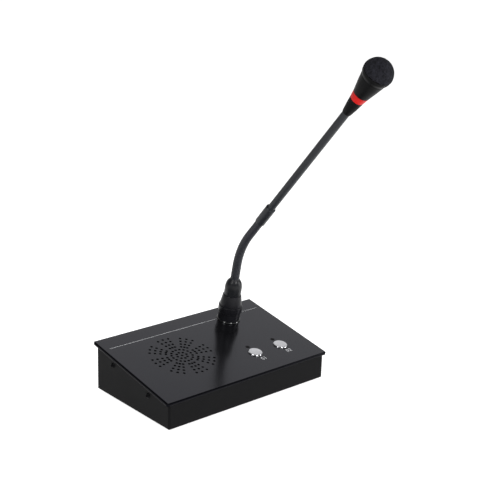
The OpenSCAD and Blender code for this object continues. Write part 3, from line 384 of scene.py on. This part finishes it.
# Lamps: two small round lenses of smoked polycarbonate, set in the panel behind the buttons.
# They are unlit, so they show as dark glossy dots.
smoked_lens = surface("smoked_polycarbonate", "#040405", "#08080a", 2, (0.2, 0.3), 0.6, 0.002,
                      Specular_IOR_Level=0.04)
lens_r, body_r, base_r, lens_drop = 2.2, 1.8, 2.3, 11.6
lens_top, lens_rim, base_top, base_foot = 0.14, 0.06, -4, -5
lens = [(0, lens_top, 0), (lens_r, lens_rim, 0), (lens_r, 0, 0), (body_r, 0, 0), (body_r, base_top, 0),
        (base_r, base_top, 0), (base_r, base_foot, 0), (body_r, base_foot, 0), (body_r, -lens_drop, 0),
        (0, -lens_drop, 0)]
button_left_x, button_right_x, lamp_s = 32, 65.2, 44
lenses = piece("lamp_lenses", [turned(lens, on_panel(x, lamp_s), turns=32)
                               for x in (button_left_x, button_right_x)], smoked_lens)
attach(lenses, "console")
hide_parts("status_lamps")

# Buttons: two round caps of chrome-plated zinc, slightly domed, each on a stem down to its switch.
# Plating is a bright mirror, a little softened by handling.
chrome_plate = surface("chrome_plated_zinc", "#c9c9cd", "#dcdce0", 6, (0.1, 0.2), 0.6, 0.001,
                       Metallic=1.0)
button_s, face_r, rim_r, rise, crown, edge_r = 32.2, 5.9, 7.1, 1.25, 0.1, 0.9
lip_r, lip_top, lip_foot = 8.5, -1.55, -2.55
hollow_r, hollow_top, stem_r, stem_foot = 5.8, -0.45, 2.5, -6
dome_steps = 6
dome = [(face_r * k / dome_steps, rise - crown * (k / dome_steps) ** 2, 0) for k in range(dome_steps)]
cap = dome + [(rim_r, rise - crown, edge_r), (rim_r, lip_top, 0), (lip_r, lip_top, 0),
              (lip_r, lip_foot, 0), (hollow_r, lip_foot, 0), (hollow_r, hollow_top, 0),
              (stem_r, hollow_top, 0), (stem_r, stem_foot, 0), (0, stem_foot, 0)]
for side, x in (("left", button_left_x), ("right", button_right_x)):
    button = piece("button_cap_" + side, [turned(cap, on_panel(x, button_s))], chrome_plate)
    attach(button, side + "_key")
    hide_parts("button_" + side)

# Socket: a round socket screwed to the panel by a nut below, its collar standing up round the plug.
# Its insert is nylon with brass contacts, and a glossy bead covers the joint with the panel.
mic_x, mic_s = 50.8, 97.2
neck_straight, neck_bend_r, neck_bend = 61, 77.5, math.radians(30.2)


def on_neck(t):
    """Place on the microphone's centre line, t millimetres from the panel, +Z along it."""
    angle = max(0, min(neck_bend, (t - neck_straight) / neck_bend_r))
    past = max(0, t - neck_straight - neck_bend_r * neck_bend)
    return (on_panel(mic_x, mic_s)
            @ Matrix.Translation(Vector((0, -neck_bend_r, min(t, neck_straight))) * mm)
            @ Matrix.Rotation(angle, 4, "X") @ Matrix.Translation(Vector((0, neck_bend_r, past)) * mm))


# Coated brass is a satin black that shows its round shape in two faint streaks.
satin_black = surface("satin_black_coat", "#161619", "#1d1d21", 12, (0.26, 0.34), 1.2, 0.001,
                      Specular_IOR_Level=0.14)
# Black chrome is a dark mirror, so the bead catches two small glints.
gloss_black = surface("gloss_black_chrome", "#101012", "#18181a", 6, (0.05, 0.1), 0.8, 0.0005,
                      Specular_IOR_Level=1.0)
bore_r, barrel_r, barrel_foot, collar_r, collar_h = 8.9, 10, -16, 11.25, 10
collar_outline = [(bore_r, barrel_foot, 0), (barrel_r, barrel_foot, 0), (barrel_r, 0, 0), (collar_r, 0, 0),
                  (collar_r, collar_h, 0.5), (bore_r, collar_h, 0.3)]
collar = piece("socket_collar", [turned(collar_outline, on_neck(0), turns=96)], satin_black)
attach(collar, "console")
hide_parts("socket_shell")
bead_bore_r, bead_r, bead_h = 11.3, 12.3, 1.6
bead_outline = [(bead_bore_r, 0, 0), (bead_r, 0, 0), (bead_r, bead_h, 0.85), (bead_bore_r, bead_h, 0.1)]
bead = piece("socket_foot_bead", [turned(bead_outline, on_neck(0), turns=96)], gloss_black)
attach(bead, "console")
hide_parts("socket_bead")
paint(zinc_plate, "socket_nut")
paint(black_nylon, "socket_insert", "plug_insert")
paint(turned_brass, "socket_contacts", "plug_pins")

# Plug: the microphone's own connector, with a lock ring, a tapered shell and three pins.
# The ring and the shell are turned and coated like the collar.
ring_h, shell_h, shell_drop, plug_r, plug_bore_r = 7, 12.2, 27, 8.7, 7.2
ring_bore_r, ring_r, shell_r, shell_top_r = 8.75, 12.2, 11.6, 9.35
ring_t = collar_h
shell_t = ring_t + ring_h
ring_outline = [(ring_bore_r, 0, 0), (ring_r, 0, 0.5), (ring_r, ring_h, 0.7), (ring_bore_r, ring_h, 0)]
ring = piece("plug_lock_ring", [turned(ring_outline, on_neck(ring_t), turns=96)], satin_black)
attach(ring, "mic_plug")
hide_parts("lock_ring")
shell_outline = [(plug_bore_r, -shell_drop, 0), (plug_r, -shell_drop, 0.4), (plug_r, 0, 0),
                 (shell_r, 0, 0.5), (shell_top_r, shell_h, 0.9), (plug_bore_r, shell_h, 0)]
shell = piece("plug_tapered_shell", [turned(shell_outline, on_neck(shell_t), turns=96)], satin_black)
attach(shell, "mic_plug")
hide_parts("plug_shell")

# Boot: a soft rubber strain relief, moulded over the neck's foot and pushed into the plug's shell.
# Its shoulder is rounded off towards the neck.
boot_t = shell_t + shell_h
boot_h, boot_bore_r, boot_r, peg_r, peg_h = 18.3, 4.25, 8.75, 7.15, 0.1
shoulder_h, brow_r, brow_h = 10.6, 7.3, 14.6
boot_outline = [(boot_bore_r, -peg_h, 0), (peg_r, -peg_h, 0), (peg_r, 0, 0), (boot_r, 0, 0.3),
                (boot_r, shoulder_h, 16), (brow_r, brow_h, 8), (boot_bore_r, boot_h, 0)]
boot = piece("strain_boot", [turned(boot_outline, on_neck(boot_t), turns=96)], moulded_rubber)
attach(boot, "mic_plug")
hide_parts("plug_boot")

# Flexible neck: two steel wires wound tight into a tube that holds its bend, finished black.
# Each turn catches a thin line of light, drawn at a 1.7 mm pitch because the real turns are finer.
wound_steel = surface("black_wound_steel", "#202126", "#2a2b31", 5, (0.34, 0.44), 0.5, 0.002,
                      Specular_IOR_Level=0.2)
links, joint_first, joint_last, neck_foot, neck_end = 7, 51.9, 124, 41.9, 125.4
foot_r, end_r, taper_from = 4.6, 4.2, 49
turn_pitch, turn_depth, turn_steps, round_steps, bend_reach = 1.7, 0.2, 10, 48, 5.1
joints = [joint_first + k * (joint_last - joint_first) / links for k in range(links + 1)]
ends = [neck_foot] + [(a + b) / 2 for a, b in zip(joints, joints[1:])] + [neck_end]
for k, joint in enumerate(joints):
    coil_from, coil_to = ends[k], ends[k + 1]
    steps = round((coil_to - coil_from) * turn_steps / turn_pitch)
    coil = bmesh.new()
    rings = []
    for i in range(steps + 1):
        t = coil_from + (coil_to - coil_from) * i / steps
        place = on_neck(t)
        thick = foot_r - (foot_r - end_r) * max(0, t - taper_from) / (neck_end - taper_from)
        loop = []
        for j in range(round_steps):
            crest = abs(2 * ((t / turn_pitch + j / round_steps) % 1) - 1)
            r, a = (thick - turn_depth * crest ** 3) * mm, 2 * math.pi * j / round_steps
            loop.append(coil.verts.new(place @ Vector((r * math.cos(a), r * math.sin(a), 0))))
        rings.append(loop)
    for a, b in zip(rings, rings[1:]):
        for j in range(round_steps):
            coil.faces.new((a[j], a[(j + 1) % round_steps], b[(j + 1) % round_steps], b[j]))
    coil.faces.new(rings[0])
    coil.faces.new(rings[-1])
    skin = piece("neck_winding_%d" % (k + 1), [coil], wound_steel)
    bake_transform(skin)
    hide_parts("neck_foot_ball" if k == 0 else "neck_link_%d" % k)

# Ferrule and upper tube: a turned sleeve crimps the winding to a straight drawn tube.
# Both are steel, blackened and oiled, a shade lighter than the coated pieces.
blackened_steel = surface("blackened_steel", "#1b1d20", "#25272b", 9, (0.3, 0.38), 0.9, 0.001,
                          Specular_IOR_Level=0.2)
ferrule_t, tube_t, tube_l = 124.85, 149, 141.5
ferrule_l = tube_t - ferrule_t
wire_r, ferrule_r, crimp_r, crimp_l, seat_r, seat_from = 2.3, 5.1, 4.3, 1, 3.55, 7
ferrule_outline = [(wire_r, 0, 0), (ferrule_r, 0, 0.5), (ferrule_r, ferrule_l - crimp_l, 0.5),
                   (crimp_r, ferrule_l, 0.2), (seat_r, ferrule_l, 0), (seat_r, seat_from, 0),
                   (wire_r, seat_from, 0)]
tube_r, tube_bore_r, tube_end_r, tube_foot_l, tube_head_l = 3.75, 2.5, 3.5, 17, 9
tube_outline = [(tube_bore_r, -tube_foot_l, 0), (tube_end_r, -tube_foot_l, 0), (tube_end_r, 0, 0),
                (tube_r, 0, 0), (tube_r, tube_l, 0), (tube_end_r, tube_l, 0),
                (tube_end_r, tube_l + tube_head_l, 0), (tube_bore_r, tube_l + tube_head_l, 0)]
for name, stands_for, t, outline in (("crimp_ferrule", "neck_ferrule", ferrule_t, ferrule_outline),
                                     ("drawn_tube", "upper_tube", tube_t, tube_outline)):
    made = piece(name, [turned(outline, on_neck(t), turns=64)], blackened_steel)
    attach(made, "mic_head")
    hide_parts(stands_for)

# Head: a turned collar, a red light ring and a flared body that ends in a round cup for the windscreen.
# The ring is pressed between collar and body, over its lamps, and the capsule sits in a rubber holder.
# Translucent polycarbonate shows an even, deep red.
red_lens = surface("red_polycarbonate", "#b00b07", "#bb100b", 5, (0.3, 0.4), 0.8, 0.002,
                   Specular_IOR_Level=0.12)
# A matt coat is the deepest black here, with one broad soft streak.
matt_black = surface("matt_black_coat", "#060607", "#0a0a0b", 12, (0.34, 0.42), 1.2, 0.002,
                     Specular_IOR_Level=0.05)
head_t, light_foot, light_top = tube_t + tube_l, 17.7, 24.7
light_foot_r, light_top_r, light_bore_r = 6.8, 7.9, 4.4
taper_r, waist_r, waist_h = 4.35, 5.65, 8
taper_outline = [(seat_r, 0, 0), (taper_r, 0, 0.2), (waist_r, waist_h, 30), (light_foot_r, light_foot, 0.1),
                 (seat_r, light_foot, 0)]
light_outline = [(light_bore_r, light_foot, 0), (light_foot_r, light_foot, 0.2),
                 (light_top_r, light_top, 0.1), (light_bore_r, light_top, 0)]
bell_foot_bore_r, flare_r, flare_h, bell_r, bell_bore_r, bell_top = 6.45, 10.75, 37.5, 12, 10, 44.1
bell_outline = [(bell_foot_bore_r, light_top, 0), (light_top_r, light_top, 0.1), (flare_r, flare_h, 30),
                (bell_r, bell_top, 0), (bell_bore_r, bell_top, 0)]
cup_bore_r, cup_floor, cup_r, cup_top = 8.4, 47.5, 14, 51.5
cup_neck_r, cup_neck_h, cup_side_r, cup_side_h = 12.1, 45.2, 13.5, 48
cup_outline = [(cup_bore_r, bell_top, 0), (bell_r, bell_top, 0), (cup_neck_r, cup_neck_h, 2),
               (cup_side_r, cup_side_h, 6), (cup_r, cup_top, 0.35), (bell_r, cup_top, 0.35),
               (bell_r, cup_floor, 0), (cup_bore_r, cup_floor, 0)]
for name, stands_for, outline, material, slot in (
        ("head_taper", "head_collar", taper_outline, matt_black, "neck_metal"),
        ("head_light_ring", "light_ring", light_outline, red_lens, "red_diffuser"),
        ("head_bell", "head_body", bell_outline, matt_black, "neck_metal"),
        ("head_cup", "head_trim", cup_outline, matt_black, "neck_metal")):
    made = piece(name, [turned(outline, on_neck(head_t), turns=96)], material)
    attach(made, "mic_head")
    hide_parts(stands_for)
paint(moulded_rubber, "capsule_holder")
paint(zinc_plate, "mic_capsule")

# Windscreen: a dome of open-cell polyurethane foam pushed over the capsule and tucked into the cup.
# Foam swallows light; its cells, drawn at 0.9 mm to show, leave a fine mottle and a soft outline.
foam = surface("polyurethane_foam", "#0a0a0c", "#27272d", 2.4, (0.92, 1.0), 0.9, 0.3,
               Specular_IOR_Level=0.1)
ball_r, ball_t, rim_t, seat_t, tucked_r = 14.2, head_t + 50.7, head_t + 51.65, head_t + 47.6, 11.9
coarse, coarse_h, fine, fine_h, cell_sink = 14, 0.14, 34, 0.12, 0.15
ball = bmesh.new()
bmesh.ops.create_icosphere(ball, subdivisions=6, radius=1)
for v in ball.verts:
    out = v.co.normalized()
    cells = noise.noise(out * coarse) * coarse_h + noise.noise(out * fine) * fine_h
    at = out * (ball_r - cell_sink + cells)
    if at.z < rim_t - ball_t:
        held = tucked_r / max(at.xy.length, tucked_r)
        at = Vector((at.x * held, at.y * held, max(at.z, seat_t - ball_t)))
    v.co = on_neck(ball_t) @ (at * mm)
windscreen = piece("foam_ball", [ball], foam)
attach(windscreen, "mic_head")
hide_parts("foam_windscreen")
